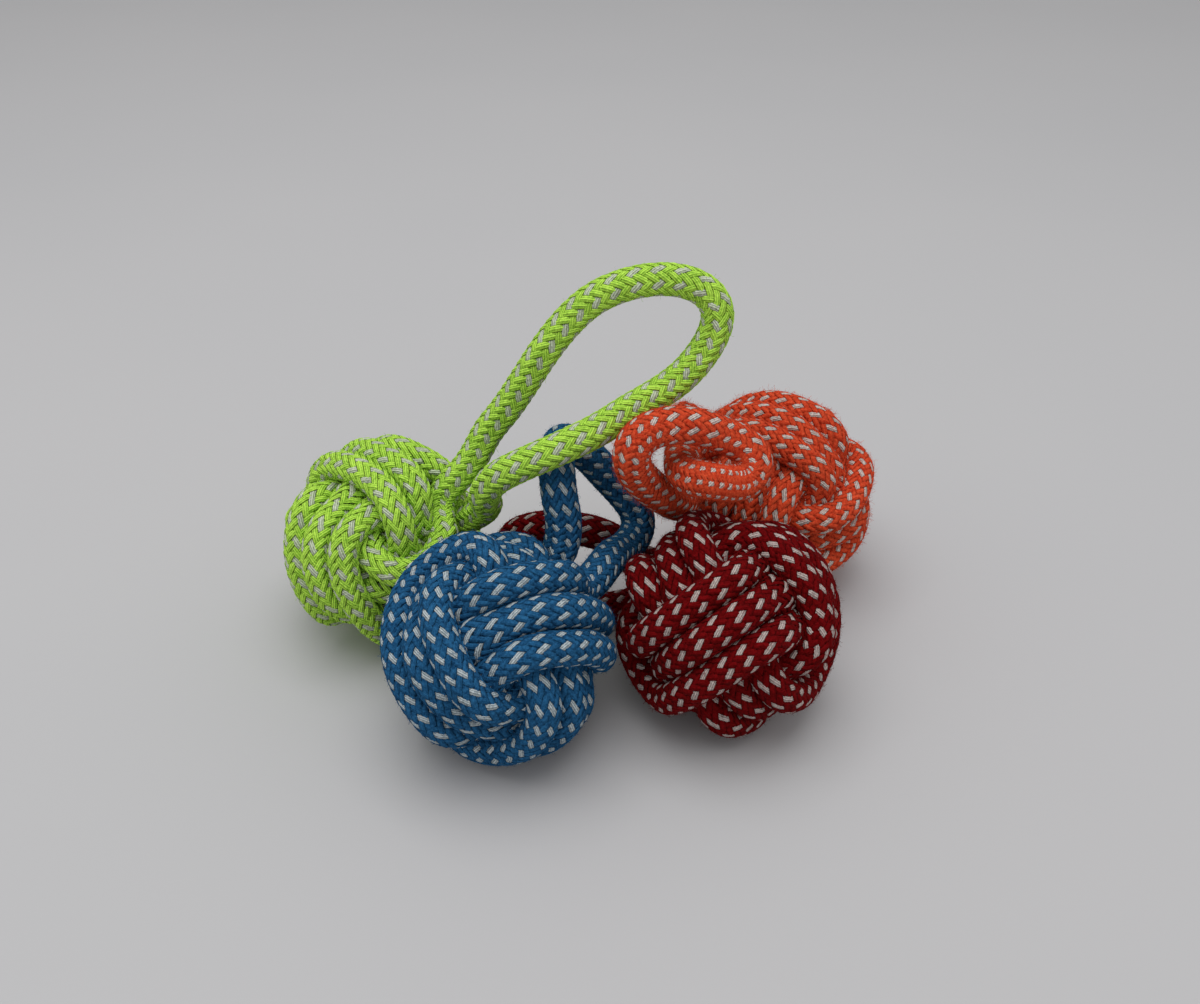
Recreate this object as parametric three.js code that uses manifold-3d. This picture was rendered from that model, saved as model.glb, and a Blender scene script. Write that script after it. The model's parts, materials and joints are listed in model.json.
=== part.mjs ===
// Set of four rope ball toys. Each toy is one rope: a three-strand ball knot wound
// round a core, with the rest of the rope standing out of it as a loop handle.
// Millimetres, +Z up. The toys lie on the floor plane z = 0.
import * as THREE from 'three';
import { mergeVertices } from 'three/addons/utils/BufferGeometryUtils.js';
import Module from 'manifold-3d';

// Knot sizes
const wound_diameter = 9;           // rope squeezed in the ball
const strand_gap = 0.45;            // least gap left between two strands
const tight_share = 0.945;          // of the strand pitch, the closest that strands end up
const strand_pitch = (wound_diameter + strand_gap) / tight_share;
const core_diameter = 21;           // firm ball that the knot is pulled tight on
const core_clearance = 0.3;
const flat_depth = wound_diameter / 10;
const neck_height = 32;             // from the ball's middle to where a leg meets the knot
const neck_spacing = 14.4;          // between the two legs of a loop, centre to centre
const neck_gap = 0.3;               // between a rope end and the leg that continues it
const neck_clearance = 0.4;         // round each leg where it comes out of the knot
const stub_length = wound_diameter; // straight rope end below the neck
const leg_straight = 3;             // straight start of a leg, above the neck
const leg_room = 12;                // height above the neck kept free for the leg
const strands_per_band = 3;

// Mesh counts
const points_per_turn = 26;
const leg_steps = 4;
const knot_steps_per_turn = 20;
const knot_sides = 6;
const loop_sides = 10;
const loop_step_diameters = 0.5;
const core_detail = 2;
const tighten_rounds = 1400;
const weld_distance = 1e-4;
const cut_size = 120;

// The cores are plain undyed cotton.
const core_colour = 0xd9d2c0;
const core_roughness = 0.9;

// Rope diameters of the loops
const cotton_rope_diameter = 11;
const braid_rope_diameter = 9.8;

// The four toys. place: middle of the ball on the floor. turn_deg: how the ball lies.
// neck_turn_deg: how the pair of legs is turned about the neck direction.
// route: points of the loop, chosen by hand, from one leg round to the other.
const toys = [
  {
    name: 'green', colour: 0x9fc93a, roughness: 0.62, rope_diameter: braid_rope_diameter,
    place: [-63.5, 12.5], turn_deg: [-93, 47, -84], neck_turn_deg: -150,
    route: [
      [-28.5, 5, 49], [-29.5, -3, 58], [-26, -7, 66.5], [-18, -9.5, 73], [-6.5, -9, 78.5],
      [4.5, -4.5, 82], [13.5, 1.5, 85], [22, 6, 88], [29, 10, 91.5], [34.5, 13, 97], [37.5, 14.5, 102],
      [39, 15.5, 108.5], [37, 16.5, 113.5], [32, 17, 117], [25, 17.5, 118.5], [17, 17.5, 118],
      [10, 17.5, 116], [2.5, 17.5, 112], [-5, 16.5, 105], [-11.5, 15.5, 96.5], [-17, 15.5, 87.5],
      [-23.5, 16, 77], [-28.5, 16, 70.5], [-32.5, 15.5, 64], [-35, 14, 57.5],
    ],
  },
  {
    name: 'blue', colour: 0x2a6ea6, roughness: 0.85, rope_diameter: cotton_rope_diameter,
    place: [-23.6, -39.7], turn_deg: [-50, -11, -32], neck_turn_deg: 60,
    route: [
      [6.5, -14, 42.5], [9.5, -5.5, 38.5], [13.5, 1.5, 36.5], [17, 7.5, 38.5], [16.5, 11, 43.5],
      [12, 12.5, 49.5], [6, 13.5, 56.5], [1.5, 12.5, 63], [-3.5, 11, 68], [-6.5, 7, 71.5],
      [-8, 1.5, 70.5], [-7.5, -3.5, 65.5], [-6.5, -8.5, 58], [-4.7, -9.5, 51],
    ],
  },
  {
    name: 'red', colour: 0x9c1420, roughness: 0.85, rope_diameter: cotton_rope_diameter,
    place: [42.4, -26.4], turn_deg: [-164, -55, -122], neck_turn_deg: 0,
    route: [
      [17, 10, 22.5], [12, 14.5, 27], [6.5, 15, 31], [0, 15.5, 33], [-6.5, 16, 33.5],
      [-12.5, 16.5, 33.5], [-17.5, 18, 31.5], [-22, 19.5, 28.5], [-25, 21, 22.5], [-24, 19, 15.5],
      [-20, 15, 8.5], [-13, 12, 5.8], [-4, 9.5, 5.6], [5.5, 9, 5.6], [15, 11, 5.8], [23.5, 14.5, 8],
      [30.5, 17.5, 13],
    ],
  },
  {
    name: 'orange', colour: 0xd9552b, roughness: 0.85, rope_diameter: cotton_rope_diameter,
    place: [64, 39.5], turn_deg: [92, -34, 102], neck_turn_deg: 90,
    route: [
      [28.5, 41, 52.5], [29.5, 37.5, 59], [31.5, 29.5, 66], [31, 19, 71], [30, 8.5, 71],
      [29, -1.5, 69.5], [29, -8, 70.5], [30, -13.3, 71.8], [33.5, -16.3, 72.8], [38.5, -16.5, 72],
      [43.5, -14.5, 70.2], [48, -12.5, 71], [49.5, -10, 74.2], [47.7, -7.5, 77.5], [43.5, -6.4, 79.5],
      [39, -6.5, 82], [34, -8.5, 85], [28.5, -9.5, 86.5], [23.5, -10.5, 87], [19, -11.5, 86],
      [15, -13.5, 84], [13.5, -14.5, 80], [15, -12.5, 73], [19, -7.5, 65], [25, 0, 55.5],
      [29.5, 9, 47.5], [31, 17, 45], [31.5, 24.5, 47],
    ],
  },
];

const wasm = await Module();
wasm.setup();

const degrees = (angle) => angle * Math.PI / 180;

// Loose knot, in strand pitches: three bands of turns. A band's turns run over one pair
// of faces and dive under the next pair, and shift along by one strand while they are
// under. over, run and side are the axes (0, 1, 2) of its outer faces, its strands'
// direction there, and the direction in which its strands lie beside each other.
const bands = [
  { over: 0, run: 1, side: 2, start_deg: 25, sense: -1, shift_deg: -270, first_side: 1 },
  { over: 2, run: 0, side: 1, start_deg: -140, sense: -1, shift_deg: -450, first_side: 1 },
  { over: 1, run: 2, side: 0, start_deg: 140, sense: 1, shift_deg: 450, first_side: -1 },
];
const end_past_face_deg = 32;
const loose_over_share = 3.0;
const loose_under_share = 1.9;
const loose_side_share = 1.12;
const corner = new THREE.Vector3(1, 1, 1).normalize();
const across = new THREE.Vector3(1, -1, 0).normalize();

function bandPoints(band) {
  const first_face = band === bands[0] ? 0 : 180;
  const faces = 2 * strands_per_band - 1;
  const end_deg = band.sense * (first_face + 180 * faces + end_past_face_deg);
  const steps = Math.round(Math.abs(end_deg - band.start_deg) / 360 * points_per_turn);
  const points = [];
  for (let i = 0; i <= steps; i += 1) {
    const angle = band.start_deg + (end_deg - band.start_deg) * i / steps;
    const mean = (loose_over_share + loose_under_share) / 2;
    const swing = (loose_over_share - loose_under_share) / 2;
    const radius = mean + swing * Math.cos(degrees(2 * angle));
    let place = 1;
    for (let k = 0; k < strands_per_band - 1; k += 1) {
      const past = (angle - band.shift_deg) * band.sense - 360 * k;
      place -= THREE.MathUtils.clamp(past / 90 + 0.5, 0, 1) * 2 / (strands_per_band - 1);
    }
    const point = [0, 0, 0];
    point[band.over] = radius * Math.cos(degrees(angle));
    point[band.run] = radius * Math.sin(degrees(angle));
    point[band.side] = loose_side_share * band.first_side * place * (strands_per_band - 1) / 2;
    points.push(new THREE.Vector3(...point));
  }
  return points;
}

// The two rope ends stand side by side at the neck, over one corner of the knot.
function neckPoint(neck_turn_deg, sign, height) {
  const aside = across.clone().applyAxisAngle(corner, degrees(neck_turn_deg));
  return corner.clone().multiplyScalar(height).addScaledVector(aside, sign * neck_spacing / 2);
}

function evenPoints(points, count) {
  const lengths = [0];
  for (let i = 1; i < points.length; i += 1) {
    lengths.push(lengths[i - 1] + points[i].distanceTo(points[i - 1]));
  }
  const total = lengths[lengths.length - 1];
  const even = [];
  let j = 0;
  for (let i = 0; i < count; i += 1) {
    const at = total * i / (count - 1);
    while (j < points.length - 2 && lengths[j + 1] < at) j += 1;
    const part = (at - lengths[j]) / (lengths[j + 1] - lengths[j]);
    even.push(points[j].clone().lerp(points[j + 1], part));
  }
  return even;
}

// Tightening, in strand pitches. Each round pushes strands apart to one pitch, keeps
// them outside the core and inside a ball, eases bends and shortens the rope.
const shrink_per_round = 0.001;
const slack_per_round = 0.0003;
const tight_contact_share = 0.87;
const push_share = 0.45;
const ease_share = 0.25;
const ball_start = 3.2;
const ball_end = 2.8;
const ball_step = 0.0008;
const settle_share = 0.8;
const skip_pitches = 1.6;

function keepApart(points, skip, held, leg_reach) {
  let least = 1;
  const last = points.length - 1 - held;
  for (let i = 0; i < points.length; i += 1) {
    for (let j = i + skip; j < points.length; j += 1) {
      const both_free = i > held && j < last;
      const reach = both_free ? 1 : leg_reach;
      const distance = points[i].distanceTo(points[j]);
      if (distance >= reach) continue;
      least = Math.min(least, distance / reach);
      const share = both_free ? push_share : 2 * push_share;
      const push = points[j].clone().sub(points[i]).multiplyScalar(share * (reach - distance) / distance);
      if (i > held) points[i].sub(push);
      if (j < last) points[j].add(push);
    }
  }
  return least;
}

function keepRound(points, held, inner, outer) {
  for (let i = held + 1; i < points.length - 1 - held; i += 1) {
    const radius = points[i].length();
    if (radius < inner) points[i].multiplyScalar(inner / radius);
    if (radius > outer) points[i].multiplyScalar(1 + (outer / radius - 1) / 2);
  }
}

function easeBends(points, held) {
  const before = points.map((point) => point.clone());
  for (let i = held + 1; i < points.length - 1 - held; i += 1) {
    const middle = before[i - 1].clone().add(before[i + 1]).multiplyScalar(0.5);
    points[i].lerp(middle, ease_share);
  }
}

function keepLength(points, held, step) {
  const last = points.length - 1 - held;
  for (const first of [0, 1, 0, 1, 0, 1, 0, 1]) {
    for (let i = first; i < points.length - 1; i += 2) {
      const free_a = i > held ? 1 : 0;
      const free_b = i + 1 < last ? 1 : 0;
      if (free_a + free_b === 0) continue;
      const way = points[i + 1].clone().sub(points[i]);
      const length = way.length();
      way.multiplyScalar((length - step) / length / (free_a + free_b));
      points[i].addScaledVector(way, free_a);
      points[i + 1].addScaledVector(way, -free_b);
    }
  }
}

function tightKnot(toy) {
  const held_length = leg_room + stub_length;
  const legPoint = (sign, k) => {
    const height = neck_height + leg_room - held_length * k / leg_steps;
    return neckPoint(toy.neck_turn_deg, sign, height).divideScalar(strand_pitch);
  };
  const loose = [legPoint(1, leg_steps), ...bands.flatMap(bandPoints), legPoint(-1, leg_steps)];
  const points = evenPoints(loose, Math.round(strands_per_band * bands.length * points_per_turn));
  let step = points[1].distanceTo(points[0]);
  const skip = Math.ceil(skip_pitches / step);
  for (let k = leg_steps - 1; k >= 0; k -= 1) {
    points.unshift(legPoint(1, k));
    points.push(legPoint(-1, k));
  }
  const held = leg_steps;
  const leg_reach = ((toy.rope_diameter + wound_diameter) / 2 + neck_clearance) / strand_pitch;
  const inner = (core_diameter / 2 + core_clearance + wound_diameter / 2) / strand_pitch;
  let outer = ball_start;
  for (let round = 0; round < tighten_rounds; round += 1) {
    const least = keepApart(points, skip, held, leg_reach);
    keepRound(points, held, inner, outer);
    easeBends(points, held);
    if (round < settle_share * tighten_rounds) {
      outer = Math.max(ball_end, outer - ball_step);
      if (least > tight_contact_share + 0.01) step *= 1 - shrink_per_round;
      if (least < tight_contact_share - 0.01) step *= 1 + slack_per_round;
    } else {
      outer += ball_step / 2;
      if (least < 0.97) step *= 1 + slack_per_round / 3;
    }
    keepLength(points, held, step);
  }
  points.forEach((point) => point.multiplyScalar(strand_pitch));
  return { points: withoutLegs(toy, points), skip };
}

// The rope is cut at the neck, where the loop's legs take over.
function withoutLegs(toy, points) {
  const ends = [1, -1].map((sign) => neckPoint(toy.neck_turn_deg, sign, neck_height));
  const first = points.findIndex((point) => point.dot(corner) < neck_height);
  const last = points.findLastIndex((point) => point.dot(corner) < neck_height);
  return [ends[0], ...points.slice(first, last + 1), ends[1]];
}

function solidOf(geometry) {
  const bare = geometry.index ? geometry.toNonIndexed() : geometry.clone();
  bare.deleteAttribute('normal');
  bare.deleteAttribute('uv');
  const merged = mergeVertices(bare, weld_distance);
  const vertProperties = new Float32Array(merged.attributes.position.array);
  const triVerts = new Uint32Array(merged.index.array);
  return new wasm.Manifold(new wasm.Mesh({ numProp: 3, vertProperties, triVerts }));
}

function geometryOf(solid) {
  const mesh = solid.getMesh();
  const geometry = new THREE.BufferGeometry();
  geometry.setAttribute('position', new THREE.BufferAttribute(mesh.vertProperties, 3));
  geometry.setIndex(new THREE.BufferAttribute(mesh.triVerts, 1));
  geometry.computeVertexNormals();
  return geometry;
}

// A tube through points, with flat ends: rings that turn as little as they can.
function tubeGeometry(points, radius, sides) {
  const curve = new THREE.CatmullRomCurve3(points, false, 'centripetal');
  const steps = points.length - 1;
  const frames = curve.computeFrenetFrames(steps, false);
  const positions = [];
  const faces = [];
  for (let i = 0; i <= steps; i += 1) {
    const middle = curve.getPointAt(i / steps);
    for (let k = 0; k < sides; k += 1) {
      const angle = 2 * Math.PI * k / sides;
      const rim = middle.clone().addScaledVector(frames.normals[i], radius * Math.cos(angle));
      rim.addScaledVector(frames.binormals[i], radius * Math.sin(angle));
      positions.push(...rim.toArray());
    }
  }
  for (let i = 0; i < steps; i += 1) {
    for (let k = 0; k < sides; k += 1) {
      const a = i * sides + k;
      const b = i * sides + (k + 1) % sides;
      faces.push(a, b, b + sides, a, b + sides, a + sides);
    }
  }
  const last = steps * sides;
  for (let k = 1; k < sides - 1; k += 1) {
    faces.push(0, k + 1, k);
    faces.push(last, last + k, last + k + 1);
  }
  const geometry = new THREE.BufferGeometry();
  geometry.setAttribute('position', new THREE.Float32BufferAttribute(positions, 3));
  geometry.setIndex(faces);
  return geometry;
}

function leastGap(points, skip) {
  let least = Infinity;
  for (let i = 0; i < points.length; i += 1) {
    for (let j = i + skip; j < points.length; j += 1) {
      least = Math.min(least, points[i].distanceTo(points[j]));
    }
  }
  return least - wound_diameter;
}

function ropeTube(points) {
  const steps = knot_steps_per_turn * strands_per_band * bands.length;
  return tubeGeometry(evenPoints(points, steps + 1), wound_diameter / 2, knot_sides);
}

// The ball stands on the floor, where its lowest strands are flattened.
function placeOf(toy, tube) {
  const turn = new THREE.Euler(...toy.turn_deg.map(degrees));
  const place = new THREE.Matrix4().makeRotationFromEuler(turn);
  const turned = tube.clone().applyMatrix4(place);
  turned.computeBoundingBox();
  return place.setPosition(toy.place[0], toy.place[1], -turned.boundingBox.min.z - flat_depth);
}

function makeKnot(toy, tube, place) {
  const below = new THREE.BoxGeometry(cut_size, cut_size, cut_size);
  below.translate(toy.place[0], toy.place[1], -cut_size / 2);
  return geometryOf(solidOf(tube.clone().applyMatrix4(place)).subtract(solidOf(below)));
}

function loopCurve(toy, place) {
  const legs = [1, -1].map((sign) => [neck_gap, leg_straight / 2, leg_straight].map((rise) => (
    neckPoint(toy.neck_turn_deg, sign, neck_height + rise).applyMatrix4(place))));
  const route = toy.route.map((point) => new THREE.Vector3(...point));
  return new THREE.CatmullRomCurve3([...legs[0], ...route, ...legs[1].reverse()], false, 'centripetal');
}

function loopSection(radius) {
  const section = new THREE.Shape();
  section.moveTo(radius, 0);
  for (let k = 1; k < loop_sides; k += 1) {
    const angle = 2 * Math.PI * k / loop_sides;
    section.lineTo(radius * Math.cos(angle), radius * Math.sin(angle));
  }
  section.closePath();
  return section;
}

function makeLoop(toy, curve) {
  const section = loopSection(toy.rope_diameter / 2);
  const steps = Math.round(curve.getLength() / (loop_step_diameters * toy.rope_diameter));
  return new THREE.ExtrudeGeometry(section, { steps, extrudePath: curve, bevelEnabled: false });
}

function named(name, geometry, colour, roughness) {
  const material = new THREE.MeshStandardMaterial({ color: colour, roughness, metalness: 0 });
  const mesh = new THREE.Mesh(geometry, material);
  mesh.name = name;
  return mesh;
}

const set = new THREE.Group();
for (const toy of toys) {
  const { points, skip } = tightKnot(toy);
  const tube = ropeTube(points);
  const place = placeOf(toy, tube);
  const curve = loopCurve(toy, place);
  console.log(`${toy.name}: least gap in the knot ${leastGap(points, skip).toFixed(2)} mm, `
    + `loop ${curve.getLength().toFixed(0)} mm`);
  const core = new THREE.IcosahedronGeometry(core_diameter / 2, core_detail).applyMatrix4(place);
  set.add(named(`${toy.name}_knot`, makeKnot(toy, tube, place), toy.colour, toy.roughness));
  set.add(named(`${toy.name}_loop`, makeLoop(toy, curve), toy.colour, toy.roughness));
  set.add(named(`${toy.name}_core`, core, core_colour, core_roughness));
}

export default set;
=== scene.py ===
"""Set of four rope ball toys on a pale floor, in metres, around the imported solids.

Each toy is one braided rope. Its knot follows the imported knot's own rings, its loop
follows the route points of the part's source, and one braid runs on through both necks.
"""
import json
import math

import bmesh
import bpy
import numpy as np
from mathutils import Matrix, Vector

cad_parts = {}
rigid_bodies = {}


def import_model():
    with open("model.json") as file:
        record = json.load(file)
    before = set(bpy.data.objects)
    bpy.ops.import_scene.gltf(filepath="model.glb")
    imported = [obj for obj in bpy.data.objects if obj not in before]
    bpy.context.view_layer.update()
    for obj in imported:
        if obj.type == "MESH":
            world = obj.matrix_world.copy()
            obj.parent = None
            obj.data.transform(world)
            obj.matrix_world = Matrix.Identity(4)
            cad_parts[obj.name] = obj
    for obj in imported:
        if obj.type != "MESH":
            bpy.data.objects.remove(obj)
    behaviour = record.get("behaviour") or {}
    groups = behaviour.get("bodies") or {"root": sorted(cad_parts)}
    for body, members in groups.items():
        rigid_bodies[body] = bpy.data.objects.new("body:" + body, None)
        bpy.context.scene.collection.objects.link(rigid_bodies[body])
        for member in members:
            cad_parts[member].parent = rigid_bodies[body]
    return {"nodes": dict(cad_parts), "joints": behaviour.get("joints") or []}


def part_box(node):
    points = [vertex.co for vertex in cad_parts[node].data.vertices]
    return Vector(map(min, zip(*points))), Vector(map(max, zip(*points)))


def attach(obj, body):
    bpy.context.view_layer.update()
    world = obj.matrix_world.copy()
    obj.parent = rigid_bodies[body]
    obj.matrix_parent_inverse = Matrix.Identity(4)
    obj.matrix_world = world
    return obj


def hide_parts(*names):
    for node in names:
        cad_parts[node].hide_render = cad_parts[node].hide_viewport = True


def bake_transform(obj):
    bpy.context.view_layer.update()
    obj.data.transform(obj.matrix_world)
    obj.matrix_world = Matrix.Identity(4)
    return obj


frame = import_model()
# The factory scene's own objects
for extra in [o for o in bpy.context.scene.objects if o.name in ("Cube", "Light", "Camera")]:
    bpy.data.objects.remove(extra)
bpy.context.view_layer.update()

MM = 0.001
TAU = 2 * math.pi

# Sizes that the part's source shares, in metres
KNOT_ROPE = 9 * MM
NECK_HEIGHT = 32 * MM
NECK_SPACING = 14.4 * MM
NECK_GAP = 0.3 * MM
LEG_STRAIGHT = 3 * MM
KNOT_SIDES = 6

# Reading the knot's rings: how wide a whole one is at least, and what counts as touching
RING_SHARE = 0.97
TOUCHING = 0.01 * MM

# The rope's line: its steps, how it swells past a neck, and what share of its radius it
# keeps from the floor
FINE_STEP = 0.25 * MM
NECK_EASE = 9 * MM
RESTING_SHARE = 0.93
START_SIDE = Vector((0.3, 0.5, 0.8))

# Its smoothing, and a stronger one from the first to the last of these distances past a neck
SMOOTHING = 2.6 * MM
SMOOTHING_SPREAD = 3
NECK_SMOOTHING = 7 * MM
CALM_RUN = (-24 * MM, -14 * MM, 12 * MM, 22 * MM)

# How far past its neck the bend of a loop's joint reaches, and how many of the line's steps
# lie between the points kept in path
BEND_LENGTH = 22 * MM
CORD_STRIDE = 8

# Places in millimetres where a tight bend packs the braid, and by how much
PUCKERS = dict(orange=[((39, -15.5, 71.5), 1.8), ((14, -14, 80), 0.7)])
PUCKER_REACH = 10 * MM

# Places in millimetres where the rope is pressed closer to its ball, and by how much
TUCKS = dict(green=[((-33, 10.5, 42), 3.6)])
TUCK_REACH = 9 * MM

# Closer than this to a knot's middle the rope is hidden: thicker, and coarser in its braid
SHOWN_FROM = 22 * MM
FILL = 3 * MM
FILL_EASE = 2.5 * MM
INNER_CROSSINGS = 4

# The braid: strands of one sense go over two of the other and under the next two. CREST:
# how flat each wave's top is. Shares are of a strand's full size and of its room.
CREST = 1.6
TRACER_SHARE = 0.96
STRAND_FULLNESS = 1.24
STRAND_SIDES = 5
HEART_SIDES = 8
SEAM_GAP = 2
FLOOR_GAP = 0.05 * MM
UNIT = (1.0, 1.0, 1.0)

# Loose fibres: the line of one as long as 1, the range of their sizes, how far they tilt,
# and how squarely the strand below has to face outwards
FUZZ_SEED = 7
FUZZ_WIDTH = 0.06 * MM
FUZZ_SEGMENTS = 2
FUZZ_MIDDLE = (0.35, 0.0, 0.5)
FUZZ_END = (1.0, 0.0, 0.42)
FUZZ_SIZES = (0.4, 1.25)
FUZZ_TILT = 0.5
FUZZ_FACING = 0.35

# Where they stand. From: how far from the knot's middle at least. Outward: how squarely the
# strand has to point away from it, where -2 takes every side.
BALL_FUZZ = {"From": 26 * MM, "Outward": FUZZ_FACING}
LOOP_FUZZ = {"From": 0.0, "Outward": -2.0}

# The yarns of a strand: their twisted fibres, and noise that varies their height and tone
YARNS = 3
FIBRE_PITCH = 1.1 * MM
TWIST_SLANT = 5.0
TWIST_DEPTH = 0.12
CLUMP_SCALE = 260.0
CLUMP_TONE = 0.9
GRAIN_SCALE = 1500.0
GRAIN_DETAIL = 3.0
GRAIN_TONE = 2.2
# How much lighter the strands that are over, and darker those that dip under: painted shade
SUNKEN_SHADE = 0.1
BUMP_STRENGTH = 0.9
BUMP_DEPTH = 0.25 * MM

# Surfaces
GLOSS = 0.06
SHEEN = 0.05
SHEEN_ROUGHNESS = 0.5
NOISE_DETAIL = 2.0
NOISE_ROUGHNESS = 0.6
FIBRE_ROUGHNESS = 0.9
FIBRE_SCALE = 900.0
FIBRE_TONE = 2.5

# Photograph
IMAGE_WIDTH = 1200
FOCAL_PIXELS = 1190
CAMERA_PLACE = (5 * MM, -297 * MM, 254.5 * MM)
CAMERA_DOWN = 34
CLIP_START = 10 * MM

# Floor and light
FLOOR_SIZE = 8
FLOOR_ROUGHNESS = 0.8
FLOOR_NOISE_SCALE = 3.0
LAMP_PLACE = Vector((-0.08, -0.1, 1.2))
LAMP_SIZE = 1.1
LAMP_POWER = 8.4
WORLD_LEVEL = 0.59

# squeezed: the rope's diameter in the knot. strands: in each sense of the braid. lay: one
# turn of a strand. burial: how far the tracers' sense lies under the other one, as a share
# of the wave between them. groove, grain: depths in the bump. line: how much a groove is
# darkened and a yarn's top lightened, as painted shade and light.
COTTON = dict(
    diameter=11 * MM, squeezed=10 * MM, strands=16, lay=43 * MM, thickness=0.45 * MM,
    rise=0.15 * MM, burial=0.4,
    ground=dict(roughness=1, groove=0.25, grain=1.0, line=0.15),
    tracer=dict(roughness=0.95, groove=1.0, grain=0.6, line=0.8))
SHINY = dict(
    diameter=9.8 * MM, squeezed=9.5 * MM, strands=12, lay=37 * MM, thickness=0.7 * MM,
    rise=0.2 * MM, burial=0.45,
    ground=dict(roughness=0.6, groove=0.9, grain=0.3, line=0.6),
    tracer=dict(roughness=0.6, groove=0.9, grain=0.3, line=0.7))

# fuzz: loose fibres on a square millimetre. fibre: how long the usual one is. turn: the
# ball's, about x, then y, then z. neck_turn: the necks', about the knot's own corner, all in
# degrees. route: the loop's points in millimetres, from leg to leg.
TOYS = dict(
    green=dict(
        rope=SHINY, fuzz=0.1, fibre=1.2 * MM, turn=(-93, 47, -84), neck_turn=-150,
        route=[
            (-28.5, 5, 49), (-29.5, -3, 58), (-26, -7, 66.5), (-18, -9.5, 73),
            (-6.5, -9, 78.5), (4.5, -4.5, 82), (13.5, 1.5, 85), (22, 6, 88),
            (29, 10, 91.5), (34.5, 13, 97), (37.5, 14.5, 102), (39, 15.5, 108.5),
            (37, 16.5, 113.5), (32, 17, 117), (25, 17.5, 118.5), (17, 17.5, 118),
            (10, 17.5, 116), (2.5, 17.5, 112), (-5, 16.5, 105), (-11.5, 15.5, 96.5),
            (-17, 15.5, 87.5), (-23.5, 16, 77), (-28.5, 16, 70.5), (-32.5, 15.5, 64),
            (-35, 14, 57.5)]),
    blue=dict(
        rope=COTTON, fuzz=1.8, fibre=0.9 * MM, turn=(-50, -11, -32), neck_turn=60,
        route=[
            (6.5, -14, 42.5), (9.5, -5.5, 38.5), (13.5, 1.5, 36.5), (17, 7.5, 38.5),
            (16.5, 11, 43.5), (12, 12.5, 49.5), (6, 13.5, 56.5), (1.5, 12.5, 63),
            (-3.5, 11, 68), (-6.5, 7, 71.5), (-8, 1.5, 70.5), (-7.5, -3.5, 65.5),
            (-6.5, -8.5, 58), (-4.7, -9.5, 51)]),
    red=dict(
        rope=COTTON, fuzz=1.9, fibre=1.1 * MM, turn=(-164, -55, -122), neck_turn=0,
        route=[
            (17, 10, 22.5), (12, 14.5, 27), (6.5, 15, 31), (0, 15.5, 33),
            (-6.5, 16, 33.5), (-12.5, 16.5, 33.5), (-17.5, 18, 31.5), (-22, 19.5, 28.5),
            (-25, 21, 22.5), (-24, 19, 15.5), (-20, 15, 8.5), (-13, 12, 5.8),
            (-4, 9.5, 5.6), (5.5, 9, 5.6), (15, 11, 5.8), (23.5, 14.5, 8),
            (30.5, 17.5, 13)]),
    orange=dict(
        rope=COTTON, fuzz=2.0, fibre=1.7 * MM, turn=(92, -34, 102), neck_turn=90,
        route=[
            (28.5, 41, 52.5), (29.5, 37.5, 59), (31.5, 29.5, 66), (31, 19, 71),
            (30, 8.5, 71), (29, -1.5, 69.5), (29, -8, 70.5), (30, -13.3, 71.8),
            (33.5, -16.3, 72.8), (38.5, -16.5, 72), (43.5, -14.5, 70.2), (48, -12.5, 71),
            (49.5, -10, 74.2), (47.7, -7.5, 77.5), (43.5, -6.4, 79.5), (39, -6.5, 82),
            (34, -8.5, 85), (28.5, -9.5, 86.5), (23.5, -10.5, 87), (19, -11.5, 86),
            (15, -13.5, 84), (13.5, -14.5, 80), (15, -12.5, 73), (19, -7.5, 65),
            (25, 0, 55.5), (29.5, 9, 47.5), (31, 17, 45), (31.5, 24.5, 47)]),
)

# The shades of each material from shadowed to lit, in sRGB levels. Each toy's fill shades
# are darker copies of its rope's colour: painted shade between the strands and on the core.
SHADES = dict(
    green=((111, 164, 40), (196, 243, 91)),
    green_tracer=((134, 144, 118), (212, 222, 196)),
    green_heart=((60, 94, 22), (104, 150, 42)),
    green_fibres=((120, 170, 40), (190, 232, 90)),
    blue=((8, 48, 84), (44, 102, 146)),
    blue_tracer=((122, 136, 139), (192, 202, 206)),
    blue_heart=((6, 34, 60), (20, 58, 92)),
    blue_fibres=((16, 58, 94), (52, 104, 146)),
    red=((66, 0, 0), (118, 10, 14)),
    red_tracer=((136, 125, 121), (203, 188, 182)),
    red_heart=((44, 0, 1), (76, 4, 6)),
    red_fibres=((76, 1, 4), (136, 26, 26)),
    orange=((169, 32, 14), (224, 88, 53)),
    orange_tracer=((146, 138, 132), (222, 211, 203)),
    orange_heart=((112, 24, 8), (156, 48, 26)),
    orange_fibres=((162, 44, 22), (216, 98, 64)),
    floor=((184, 184, 186), (190, 189, 190)),
)


# Camera

def linked(name, data):
    thing = bpy.data.objects.new(name, data)
    bpy.context.scene.collection.objects.link(thing)
    return thing


def make_camera():
    data = bpy.data.cameras.new("camera")
    data.sensor_fit = "HORIZONTAL"
    data.lens = data.sensor_width * FOCAL_PIXELS / IMAGE_WIDTH
    data.clip_start = CLIP_START
    camera = linked("camera", data)
    camera.location = CAMERA_PLACE
    camera.rotation_euler = (math.radians(90 - CAMERA_DOWN), 0, 0)
    bpy.context.scene.camera = camera


make_camera()


# Nodes: a wire is a socket with maths, and add() makes any other node

class Wire:
    def __init__(self, tree, socket):
        self.tree, self.socket = tree, socket

    def maths(self, operation, *values):
        values = dict(enumerate([self, *values]))
        return self.tree.add("ShaderNodeMath", values, operation=operation)

    def __add__(self, other):
        return self.maths("ADD", other)

    def __sub__(self, other):
        return self.maths("SUBTRACT", other)

    def __mul__(self, other):
        return self.maths("MULTIPLY", other)

    def __truediv__(self, other):
        return self.maths("DIVIDE", other)

    def __rsub__(self, other):
        return self.maths("MULTIPLY_ADD", -1.0, other)


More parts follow.
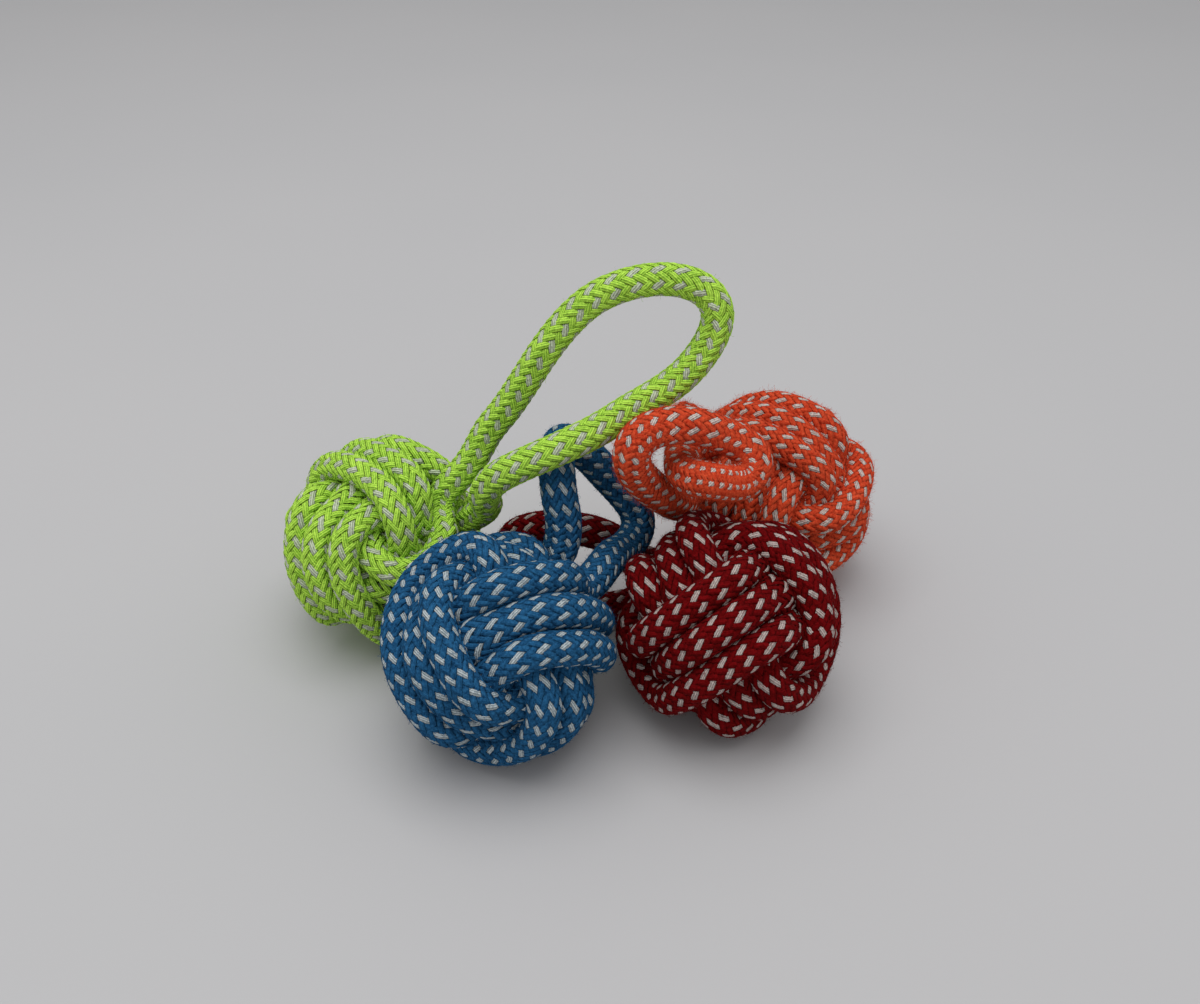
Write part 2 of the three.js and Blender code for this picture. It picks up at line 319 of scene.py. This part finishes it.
class Tree:
    def __init__(self, group):
        self.group = group

    def add(self, kind, values=None, out=0, **settings):
        node = self.group.nodes.new(kind)
        for name, value in settings.items():
            setattr(node, name, value)
        for key, value in (values or {}).items():
            for each in value if isinstance(value, list) else [value]:
                self.give(node.inputs[key], each)
        return Wire(self, node.outputs[out]) if len(node.outputs) else node

    def give(self, socket, value):
        if isinstance(value, Wire):
            self.group.links.new(value.socket, socket)
        else:
            socket.default_value = value


# Rope lines

def spline(points, step):
    """Points about step apart on the centripetal curve through points."""
    points = np.array(points, float)
    points = np.concatenate([[2 * points[0] - points[1]], points,
                             [2 * points[-1] - points[-2]]])
    made = []
    for p in (points[i:i + 4] for i in range(len(points) - 3)):
        gaps = np.sqrt(np.linalg.norm(np.diff(p, axis=0), axis=1))
        t = np.concatenate([[0], np.cumsum(gaps)])
        count = max(2, round(np.linalg.norm(p[2] - p[1]) / step))
        at = np.linspace(t[1], t[2], count, endpoint=False)[:, None]

        def mix(a, b, ta, tb):
            return (a * (tb - at) + b * (at - ta)) / (tb - ta)

        one, two, three = (mix(p[i], p[i + 1], t[i], t[i + 1]) for i in range(3))
        made.append(mix(mix(one, two, t[0], t[2]), mix(two, three, t[1], t[3]), t[1], t[2]))
    return np.concatenate([*made, points[-2:-1]])


def run_of(points):
    return np.concatenate([[0], np.cumsum(np.linalg.norm(np.diff(points, axis=0), axis=1))])


def evenly(points, step):
    run = run_of(points)
    at = np.linspace(0, run[-1], round(run[-1] / step) + 1)
    return np.stack([np.interp(at, run, points[:, k]) for k in range(3)], axis=1)


def smoothed(points, reach, step):
    half = round(SMOOTHING_SPREAD * reach / step)
    weights = np.exp(-0.5 * (np.arange(-half, half + 1) * step / reach) ** 2)
    weights /= weights.sum()
    first = 2 * points[0] - points[half:0:-1]
    last = 2 * points[-1] - points[-2:-half - 2:-1]
    padded = np.concatenate([first, points, last])
    return np.stack([np.convolve(padded[:, k], weights, "valid") for k in range(3)], axis=1)


def knot_rings(node, start):
    """Middles of a knot's rings, from the end at start to the other end. A ring's middle
    is halfway between its two corners that are furthest apart."""
    mesh = bmesh.new()
    mesh.from_mesh(frame["nodes"][node].data)
    bmesh.ops.remove_doubles(mesh, verts=mesh.verts, dist=TOUCHING)
    near = sorted(mesh.verts, key=lambda v: (v.co - start).length)[:KNOT_SIDES]
    ring, seen, middles = set(near), set(near), []
    while ring:
        corners = np.array([v.co for v in ring])
        apart = np.linalg.norm(corners[:, None] - corners[None], axis=2)
        a, b = np.unravel_index(apart.argmax(), apart.shape)
        if apart[a, b] > RING_SHARE * KNOT_ROPE:
            middles.append((corners[a] + corners[b]) / 2)
        beside = {e.other_vert(v) for v in ring for e in v.link_edges}
        ring = {v for v in beside if v not in seen and v.co.z > TOUCHING}
        seen |= ring
    mesh.free()
    return middles


def neck_point(toy, sign, height):
    corner = Vector((1, 1, 1)).normalized()
    across = Vector((1, -1, 0)).normalized()
    aside = Matrix.Rotation(math.radians(toy["neck_turn"]), 3, corner) @ across
    point = corner * height + aside * (sign * NECK_SPACING / 2)
    for axis, angle in zip("ZYX", reversed(toy["turn"])):
        point = Matrix.Rotation(math.radians(angle), 3, axis) @ point
    return point + toy["middle"]


def frames_along(line):
    """Side and up at each point, turning about the line as little as they can."""
    tangent = np.gradient(line, axis=0)
    tangent /= np.linalg.norm(tangent, axis=1)[:, None]
    side = np.zeros_like(line)
    side[0] = np.cross(tangent[0], START_SIDE)
    side[0] /= np.linalg.norm(side[0])
    for i in range(1, len(line)):
        flat = side[i - 1] - tangent[i] * (side[i - 1] @ tangent[i])
        side[i] = flat / np.linalg.norm(flat)
    return side, np.cross(tangent, side)


def packed_rope(name, toy):
    """The whole rope as the solids have it, from the middle of the knot through one neck,
    round the loop and back into the knot. With its step, its necks' points and its loop."""
    rises = (NECK_GAP, LEG_STRAIGHT / 2, LEG_STRAIGHT)
    legs = [[neck_point(toy, sign, NECK_HEIGHT + rise) for rise in rises]
            for sign in (1, -1)]
    route = [Vector(point) * MM for point in toy["route"]]
    loop = spline([*legs[0], *route, *reversed(legs[1])], FINE_STEP)
    knot = spline(knot_rings(f"{name}_knot", neck_point(toy, 1, NECK_HEIGHT)), FINE_STEP)
    half = len(knot) // 2
    whole = np.concatenate([knot[half:], loop[::-1], knot[:half]])
    line = evenly(whole, FINE_STEP)
    length = run_of(whole)
    step = length[-1] / (len(line) - 1)
    necks = [round(length[len(knot) - half + k] / step) for k in (0, len(loop) - 1)]
    return line, step, necks, loop


def apart_from(line, place):
    return np.linalg.norm(line - place, axis=1)


def eased(name, middle, line, step, from_neck, reach):
    """The line at rest on the floor, smoothed, and tucked in towards the knot's middle."""
    line[:, 2] = np.maximum(line[:, 2], reach * RESTING_SHARE)
    calm = np.interp(from_neck, CALM_RUN, (0, 1, 1, 0))[:, None]
    line = (smoothed(line, SMOOTHING, step) * (1 - calm)
            + smoothed(line, NECK_SMOOTHING, step) * calm)
    for place, tuck in TUCKS.get(name, []):
        inward = (middle - Vector(place) * MM).normalized()
        gap = apart_from(line, Vector(place) * MM)
        line += np.exp(-(gap / TUCK_REACH) ** 2)[:, None] * np.array(inward) * tuck * MM
    return line


def lay_rope(name, toy):
    """Work out the toy's rope, point by point: where it runs, how thick it is, which way
    its sides face, and how far its strands have turned."""
    low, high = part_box(f"{name}_core")
    toy["middle"] = (low + high) / 2
    line, step, necks, loop = packed_rope(name, toy)
    rope = toy["rope"]
    at = np.arange(len(line))
    from_neck = np.minimum(at - necks[0], necks[1] - at) * step
    full = np.clip(from_neck / NECK_EASE + 1, 0, 1)
    reach = (rope["squeezed"] + (rope["diameter"] - rope["squeezed"]) * full) / 2
    line = eased(name, toy["middle"], line, step, from_neck, reach)
    depth = SHOWN_FROM + FILL_EASE - apart_from(line, toy["middle"])
    reach += FILL * np.clip(depth / (2 * FILL_EASE), 0, 1)
    side, up = frames_along(line)
    packed = np.ones(len(line))
    for place, extra in PUCKERS.get(name, []):
        gap = apart_from(line, Vector(place) * MM)
        packed += extra * np.exp(-(gap / PUCKER_REACH) ** 4)
    turns = np.cumsum(packed) * step / rope["lay"]
    toy.update(line=line, side=side, up=up, necks=necks, loop=loop, reach=reach,
               turns=turns, crossings=2 * rope["strands"] * turns, run=at * step)


def samples(toy, first, last):
    """Points of the rope from first to last, one at each crossing of its strands, or fewer
    where the rope is hidden."""
    crossings = np.arange(math.ceil(toy["crossings"][first]), toy["crossings"][last])
    at = np.searchsorted(toy["crossings"], crossings)
    shown = apart_from(toy["line"][at], toy["middle"]) > SHOWN_FROM
    inner = (at > first + SEAM_GAP) & (at < last - SEAM_GAP)
    kept = at[inner & (shown | (crossings % INNER_CROSSINGS == 0))]
    return [first, *kept.tolist(), last]


def rope_wire(name, toy, first, last):
    """Edges along the rope from first to last, with the attributes that the braid reads."""
    chosen = samples(toy, first, last)
    edges = [(k, k + 1) for k in range(len(chosen) - 1)]
    mesh = bpy.data.meshes.new(name)
    mesh.from_pydata(toy["line"][chosen].tolist(), edges, [])
    for key in ("side", "up", "reach", "turns", "run"):
        values = toy[key][chosen]
        kind, field = ("FLOAT_VECTOR", "vector") if values.ndim == 2 else ("FLOAT", "value")
        kept = mesh.attributes.new(key, kind, "POINT")
        kept.data.foreach_set(field, values.astype(np.float32).ravel())
    return linked(name, mesh)


# Geometry trees

def geometry_tree(name, inputs):
    group = bpy.data.node_groups.new(name, "GeometryNodeTree")
    interface = group.interface
    interface.new_socket("Geometry", in_out="INPUT", socket_type="NodeSocketGeometry")
    for label, kind in inputs.items():
        interface.new_socket(label, in_out="INPUT", socket_type="NodeSocket" + kind)
    interface.new_socket("Geometry", in_out="OUTPUT", socket_type="NodeSocketGeometry")
    tree = Tree(group)
    source = group.nodes.new("NodeGroupInput")
    return tree, {s.name: Wire(tree, s) for s in source.outputs if s.name}


def close_tree(tree, geometry):
    tree.add("NodeGroupOutput", {"Geometry": geometry})
    return tree.group


def grown(name, base, group, values):
    """What a tree makes of base, as a plain mesh object."""
    modifier = base.modifiers.new("grow", "NODES")
    modifier.node_group = group
    for item in group.interface.items_tree:
        if item.in_out == "INPUT" and item.name in values:
            modifier[item.identifier] = values[item.name]
    graph = bpy.context.evaluated_depsgraph_get()
    mesh = bpy.data.meshes.new_from_object(base.evaluated_get(graph))
    base.modifiers.remove(modifier)
    mesh.name = name
    return linked(name, mesh)


def named(tree, key, kind="FLOAT"):
    return tree.add("GeometryNodeInputNamedAttribute", {"Name": key}, data_type=kind)


def scaled(tree, value, factor):
    return tree.add("ShaderNodeVectorMath", {"Vector": value, "Scale": factor},
                    operation="SCALE")


def stored(tree, geometry, key, value, kind="FLOAT"):
    return tree.add("GeometryNodeStoreNamedAttribute",
                    {"Geometry": geometry, "Name": key, "Value": value},
                    data_type=kind, domain="POINT")


def vector(tree, operation, *values, out="Vector"):
    return tree.add("ShaderNodeVectorMath", dict(enumerate(values)), out=out,
                    operation=operation)


def within(wire, low, high):
    return wire.maths("MAXIMUM", low).maths("MINIMUM", high)


def dressed(tree, geometry, material, selection=True):
    return tree.add("GeometryNodeSetMaterial", {
        "Geometry": geometry, "Material": material, "Selection": selection})


def strand_rim(tree, given):
    """A strand's section, with the place across it for its yarns."""
    rim = tree.add("GeometryNodeCurvePrimitiveCircle",
                   {"Resolution": STRAND_SIDES, "Radius": 1.0})
    place = tree.add("ShaderNodeSeparateXYZ",
                     {0: tree.add("GeometryNodeInputPosition")}, out="Y")
    size = tree.add("ShaderNodeCombineXYZ",
                    {"X": given["Thickness"] * 0.5, "Y": given["Width"] * 0.5, "Z": 1.0})
    return tree.add("GeometryNodeTransform", {
        "Geometry": stored(tree, rim, "across", place), "Scale": size})


def strands_of(tree, curve, given, sense, share):
    """The strands of one sense, as tubes that circle the line. Where those of one sense
    are over, those of the other are under. share: of their full size."""
    strands = given["Strands"]
    copies = tree.add("GeometryNodeDuplicateElements",
                      {"Geometry": curve, "Amount": strands}, domain="SPLINE")
    index = Wire(tree, copies.socket.node.outputs["Duplicate Index"])
    angle = (named(tree, "turns") * sense + index / strands) * TAU
    wave = (angle * strands * 0.5 - math.pi / 4).maths("COSINE")
    over = within((wave - given["Burial"]) * (-sense * CREST), -1.0, 1.0)
    out = vector(tree, "ADD",
                 scaled(tree, named(tree, "side", "FLOAT_VECTOR"), angle.maths("COSINE")),
                 scaled(tree, named(tree, "up", "FLOAT_VECTOR"), angle.maths("SINE")))
    radius = named(tree, "reach") - given["Thickness"] * 0.5 + given["Rise"] * (over - 1)
    kept = stored(tree, copies, "strand", index)
    kept = stored(tree, kept, "over", over)
    kept = stored(tree, kept, "out", out, "FLOAT_VECTOR")
    out = named(tree, "out", "FLOAT_VECTOR")
    moved = tree.add("GeometryNodeSetPosition",
                     {"Geometry": kept, "Offset": scaled(tree, out, radius)})
    aimed = tree.add("GeometryNodeSetCurveNormal", {"Curve": moved, "Normal": out},
                     mode="FREE")
    return tree.add("GeometryNodeCurveToMesh", {
        "Curve": aimed, "Profile Curve": strand_rim(tree, given), "Scale": share,
        "Fill Caps": True})


def shaded_fill_of(tree, curve, given):
    """The filling that shows between strands, in a darker copy of the rope's colour: painted
    shade.
    """
    radius = named(tree, "reach") - given["Thickness"] - given["Rise"]
    rim = tree.add("GeometryNodeCurvePrimitiveCircle",
                   {"Resolution": HEART_SIDES, "Radius": 1.0})
    tube = tree.add("GeometryNodeCurveToMesh", {
        "Curve": curve, "Profile Curve": rim, "Scale": radius, "Fill Caps": True})
    return dressed(tree, tube, given["Shaded fill"])


def above_floor(tree, geometry):
    place = tree.add("GeometryNodeInputPosition")
    split = tree.add("ShaderNodeSeparateXYZ", {0: place}).socket.node.outputs
    height = Wire(tree, split["Z"]).maths("MAXIMUM", FLOOR_GAP)
    raised = tree.add("ShaderNodeCombineXYZ", {
        "X": Wire(tree, split["X"]), "Y": Wire(tree, split["Y"]), "Z": height})
    return tree.add("GeometryNodeSetPosition", {"Geometry": geometry, "Position": raised})


def braid_tree():
    """Plain strands of one sense over flecked ones of the other, where every second strand
    is a tracer, around the filling."""
    tree, given = geometry_tree("braid", {
        "Strands": "Int", "Width": "Float", "Thickness": "Float", "Rise": "Float",
        "Burial": "Float", "Tracer": "Material", "Ground": "Material", "Shaded fill": "Material"})
    curve = tree.add("GeometryNodeMeshToCurve", {"Mesh": given["Geometry"]})
    plain = dressed(tree, strands_of(tree, curve, given, 1, 1.0), given["Ground"])
    even = named(tree, "strand").maths("FLOORED_MODULO", 2.0).maths("LESS_THAN", 0.5)
    share = 1 - even * (1 - TRACER_SHARE)
    flecked = dressed(tree, strands_of(tree, curve, given, -1, share), given["Ground"])
    flecked = dressed(tree, flecked, given["Tracer"], even)
    rope = tree.add("GeometryNodeJoinGeometry",
                    {"Geometry": [plain, flecked, shaded_fill_of(tree, curve, given)]})
    return close_tree(tree, tree.add("GeometryNodeSetShadeSmooth", {"Geometry": rope}))


def fibre_sites(tree, given):
    """The strands that are over, on their outer side and away from the knot's middle."""
    out = named(tree, "out", "FLOAT_VECTOR")
    normal = tree.add("GeometryNodeInputNormal")
    away = vector(tree, "SUBTRACT", tree.add("GeometryNodeInputPosition"), given["Middle"])
    apart = vector(tree, "LENGTH", away, out="Value")
    facing = vector(tree, "DOT_PRODUCT", out, normal, out="Value")
    ahead = vector(tree, "DOT_PRODUCT", vector(tree, "NORMALIZE", away), out, out="Value")
    return (apart.maths("GREATER_THAN", given["From"])
            * facing.maths("GREATER_THAN", FUZZ_FACING)
            * named(tree, "over").maths("GREATER_THAN", 0.0)
            * ahead.maths("GREATER_THAN", given["Outward"]))


def one_fibre(tree, given):
    """A bent strip, as long as Length and as wide as Width."""
    spine = tree.add("GeometryNodeCurveQuadraticBezier", {
        "Resolution": FUZZ_SEGMENTS, "Start": (0.0, 0.0, 0.0), "Middle": FUZZ_MIDDLE,
        "End": FUZZ_END})
    rim = tree.add("GeometryNodeCurvePrimitiveLine", {
        "Start": (-0.5, 0.0, 0.0), "End": (0.5, 0.0, 0.0)})
    spine, rim = (tree.add("GeometryNodeTransform", {
        "Geometry": curve, "Scale": scaled(tree, UNIT, given[size])})
        for curve, size in ((spine, "Length"), (rim, "Width")))
    return tree.add("GeometryNodeCurveToMesh", {"Curve": spine, "Profile Curve": rim})


def fuzz_tree():
    """Loose fibres that stand off the braid, and the braid itself, kept above the floor."""
    tree, given = geometry_tree("fuzz", {
        "Middle": "Vector", "From": "Float", "Outward": "Float", "Density": "Float",
        "Length": "Float", "Width": "Float", "Seed": "Int", "Fibre": "Material"})
    points = tree.add("GeometryNodeDistributePointsOnFaces", {
        "Mesh": given["Geometry"], "Selection": fibre_sites(tree, given),
        "Density": given["Density"], "Seed": given["Seed"]})
    turned = Wire(tree, points.socket.node.outputs["Rotation"])
    least, most = FUZZ_SIZES
    size = tree.add("FunctionNodeRandomValue", {
        "Min": least, "Max": most, "Seed": given["Seed"]}, out="Value")
    placed = tree.add("GeometryNodeInstanceOnPoints", {
        "Points": points, "Instance": one_fibre(tree, given), "Rotation": turned,
        "Scale": scaled(tree, UNIT, size)})
    spin = tree.add("FunctionNodeRandomValue", {
        "Min": (-FUZZ_TILT, -FUZZ_TILT, 0.0), "Max": (FUZZ_TILT, FUZZ_TILT, TAU),
        "Seed": given["Seed"]}, data_type="FLOAT_VECTOR")
    placed = tree.add("GeometryNodeRotateInstances", {
        "Instances": placed, "Rotation": spin, "Local Space": True})
    ends = dressed(tree, tree.add("GeometryNodeRealizeInstances", {0: placed}),
                   given["Fibre"])
    both = tree.add("GeometryNodeJoinGeometry", {"Geometry": [given["Geometry"], ends]})
    return close_tree(tree, above_floor(tree, both))


BRAID = braid_tree()
FUZZ = fuzz_tree()


# Materials

def linear(level):
    value = level / 255
    return value / 12.92 if value <= 0.04045 else ((value + 0.055) / 1.055) ** 2.4


def shades_of(name):
    return [(*map(linear, shade), 1) for shade in SHADES[name]]


def shader(name, roughness, **constants):
    material = bpy.data.materials.new(name)
    material.use_nodes = True
    surface = material.node_tree.nodes["Principled BSDF"]
    surface.inputs["Roughness"].default_value = roughness
    surface.inputs["Specular IOR Level"].default_value = GLOSS
    for key, value in constants.items():
        surface.inputs[key.replace("_", " ")].default_value = value
    return material, Tree(material.node_tree), surface.inputs


def mixed(tree, factor, first, second):
    return tree.add("ShaderNodeMix", {0: factor, 6: first, 7: second}, out=2,
                    data_type="RGBA", clamp_factor=True)


def noise(tree, scale, detail=NOISE_DETAIL):
    place = tree.add("ShaderNodeTexCoord", out="Object")
    return tree.add("ShaderNodeTexNoise", {
        "Vector": place, "Scale": scale, "Detail": detail, "Roughness": NOISE_ROUGHNESS})


def yarn(name, roughness, groove, grain, line):
    """Spun yarns side by side: a groove between each two, twisted fibres on each. Grooves
    are painted darker and yarn tops lighter: painted shade and light.
    """
    dark, light = shades_of(name)
    material, tree, inputs = shader(name, roughness, Sheen_Weight=SHEEN,
                                    Sheen_Roughness=SHEEN_ROUGHNESS, Sheen_Tint=light)
    across, run, over = (tree.add("ShaderNodeAttribute", out="Fac", attribute_name=key)
                         for key in ("across", "run", "over"))
    ridge = ((across + 1) * (0.5 * math.pi * YARNS)).maths("SINE").maths("ABSOLUTE")
    twist = (run * (TAU / FIBRE_PITCH) + across * TWIST_SLANT).maths("SINE")
    clump = noise(tree, CLUMP_SCALE)
    speck = noise(tree, GRAIN_SCALE, GRAIN_DETAIL)
    height = ridge * groove + twist * ridge * TWIST_DEPTH + (speck - 0.5) * grain
    # Tone: painted shade darkens the grooves and the strands that dip under, and painted
    # light brightens yarn tops and strands that are over. Clump and speck vary it at random.
    tone = ((clump - 0.5) * CLUMP_TONE + (speck - 0.5) * GRAIN_TONE + (ridge - 0.5) * line
            + over * SUNKEN_SHADE + 0.5)
    tree.give(inputs["Base Color"], mixed(tree, tone, dark, light))
    tree.give(inputs["Normal"], tree.add("ShaderNodeBump", {
        "Height": height, "Strength": BUMP_STRENGTH, "Distance": BUMP_DEPTH}))
    return material


def mottled(name, roughness, scale, contrast):
    material, tree, inputs = shader(name, roughness)
    tone = (noise(tree, scale) - 0.5) * contrast + 0.5
    tree.give(inputs["Base Color"], mixed(tree, tone, *shades_of(name)))
    return material


MATERIALS = {}
for colour, toy in TOYS.items():
    ground, tracer = toy["rope"]["ground"], toy["rope"]["tracer"]
    MATERIALS[colour] = yarn(colour, **ground)
    MATERIALS[f"{colour}_tracer"] = yarn(f"{colour}_tracer", **tracer)
    MATERIALS[f"{colour}_heart"] = yarn(f"{colour}_heart", **ground)
    MATERIALS[f"{colour}_fibres"] = mottled(f"{colour}_fibres", FIBRE_ROUGHNESS, FIBRE_SCALE,
                                            FIBRE_TONE)


# The toys

def braid_values(name, rope):
    radius = rope["diameter"] / 2 - rope["thickness"] / 2 - rope["rise"]
    slant = math.atan(TAU * radius / rope["lay"])
    pitch = TAU * radius / rope["strands"] * math.cos(slant)
    return {
        "Strands": rope["strands"], "Width": pitch * STRAND_FULLNESS,
        "Thickness": rope["thickness"], "Rise": rope["rise"], "Burial": rope["burial"],
        "Tracer": MATERIALS[f"{name}_tracer"], "Ground": MATERIALS[name],
        "Shaded fill": MATERIALS[f"{name}_heart"],
    }


def fuzz_values(name, toy):
    return {
        "Middle": toy["middle"], "Density": toy["fuzz"] / MM ** 2, "Length": toy["fibre"],
        "Width": FUZZ_WIDTH, "Seed": FUZZ_SEED, "Fibre": MATERIALS[f"{name}_fibres"],
    }


def handle_bend(name, toy):
    """The bodies of the loop's joint, where the loop leaves the first and where it has gone
    over wholly to the second."""
    joint = next(j for j in frame["joints"] if j["child"] == f"{name}_handle")
    start = (neck_point(toy, 1, NECK_HEIGHT) + neck_point(toy, -1, NECK_HEIGHT)) / 2
    away = Vector(toy["loop"].mean(axis=0)) - start
    return joint["parent"], joint["child"], start, start + away.normalized() * BEND_LENGTH


def braided(name, toy, piece_name, span, where):
    """One piece of the rope, braided along a span of it, with its loose fibres."""
    wire = rope_wire(f"{piece_name}_line", toy, *span)
    bare = grown(f"{piece_name}_bare", wire, BRAID, braid_values(name, toy["rope"]))
    piece = grown(piece_name, bare, FUZZ, {**fuzz_values(name, toy), **where})
    for used in (wire, bare):
        bpy.data.objects.remove(used)
    return piece


def make_toy(name, toy):
    lay_rope(name, toy)
    first, second = toy["necks"]
    halves = {"first_half": (0, first), "second_half": (second, len(toy["line"]) - 1)}
    for half, span in halves.items():
        piece = braided(name, toy, f"{name}_ball_{half}", span, BALL_FUZZ)
        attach(piece, "toys")
        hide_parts(f"{name}_knot")
    handle = braided(name, toy, f"{name}_rope_loop", (first, second), LOOP_FUZZ)
    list(handle_bend(name, toy))
    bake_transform(handle)
    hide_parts(f"{name}_loop")
    path = toy["line"][first:second + 1:CORD_STRIDE]
    # The core wears the same darker fill material: painted shade.
    core = frame["nodes"][f"{name}_core"]
    core.data.materials.clear()
    core.data.materials.append(MATERIALS[f"{name}_heart"])


for colour, toy in TOYS.items():
    make_toy(colour, toy)


# Floor and light

def make_floor():
    bpy.ops.mesh.primitive_plane_add(size=FLOOR_SIZE)
    floor = bpy.context.object
    floor.name = "floor"
    material, tree, inputs = shader("floor", FLOOR_ROUGHNESS)
    tone = noise(tree, FLOOR_NOISE_SCALE)
    tree.give(inputs["Base Color"], mixed(tree, tone, *shades_of("floor")))
    floor.data.materials.append(material)


def make_light():
    data = bpy.data.lights.new("overhead", "AREA")
    data.size = LAMP_SIZE
    data.energy = LAMP_POWER
    lamp = linked("overhead", data)
    lamp.location = LAMP_PLACE
    lamp.rotation_euler = (-LAMP_PLACE).to_track_quat("-Z", "Y").to_euler()


def make_world():
    world = bpy.data.worlds.new("world")
    world.use_nodes = True
    backdrop = world.node_tree.nodes["Background"].inputs
    backdrop["Color"].default_value = (1, 1, 1, 1)
    backdrop["Strength"].default_value = WORLD_LEVEL
    bpy.context.scene.world = world


make_floor()
make_light()
make_world()
bpy.context.scene.view_settings.view_transform = "Standard"
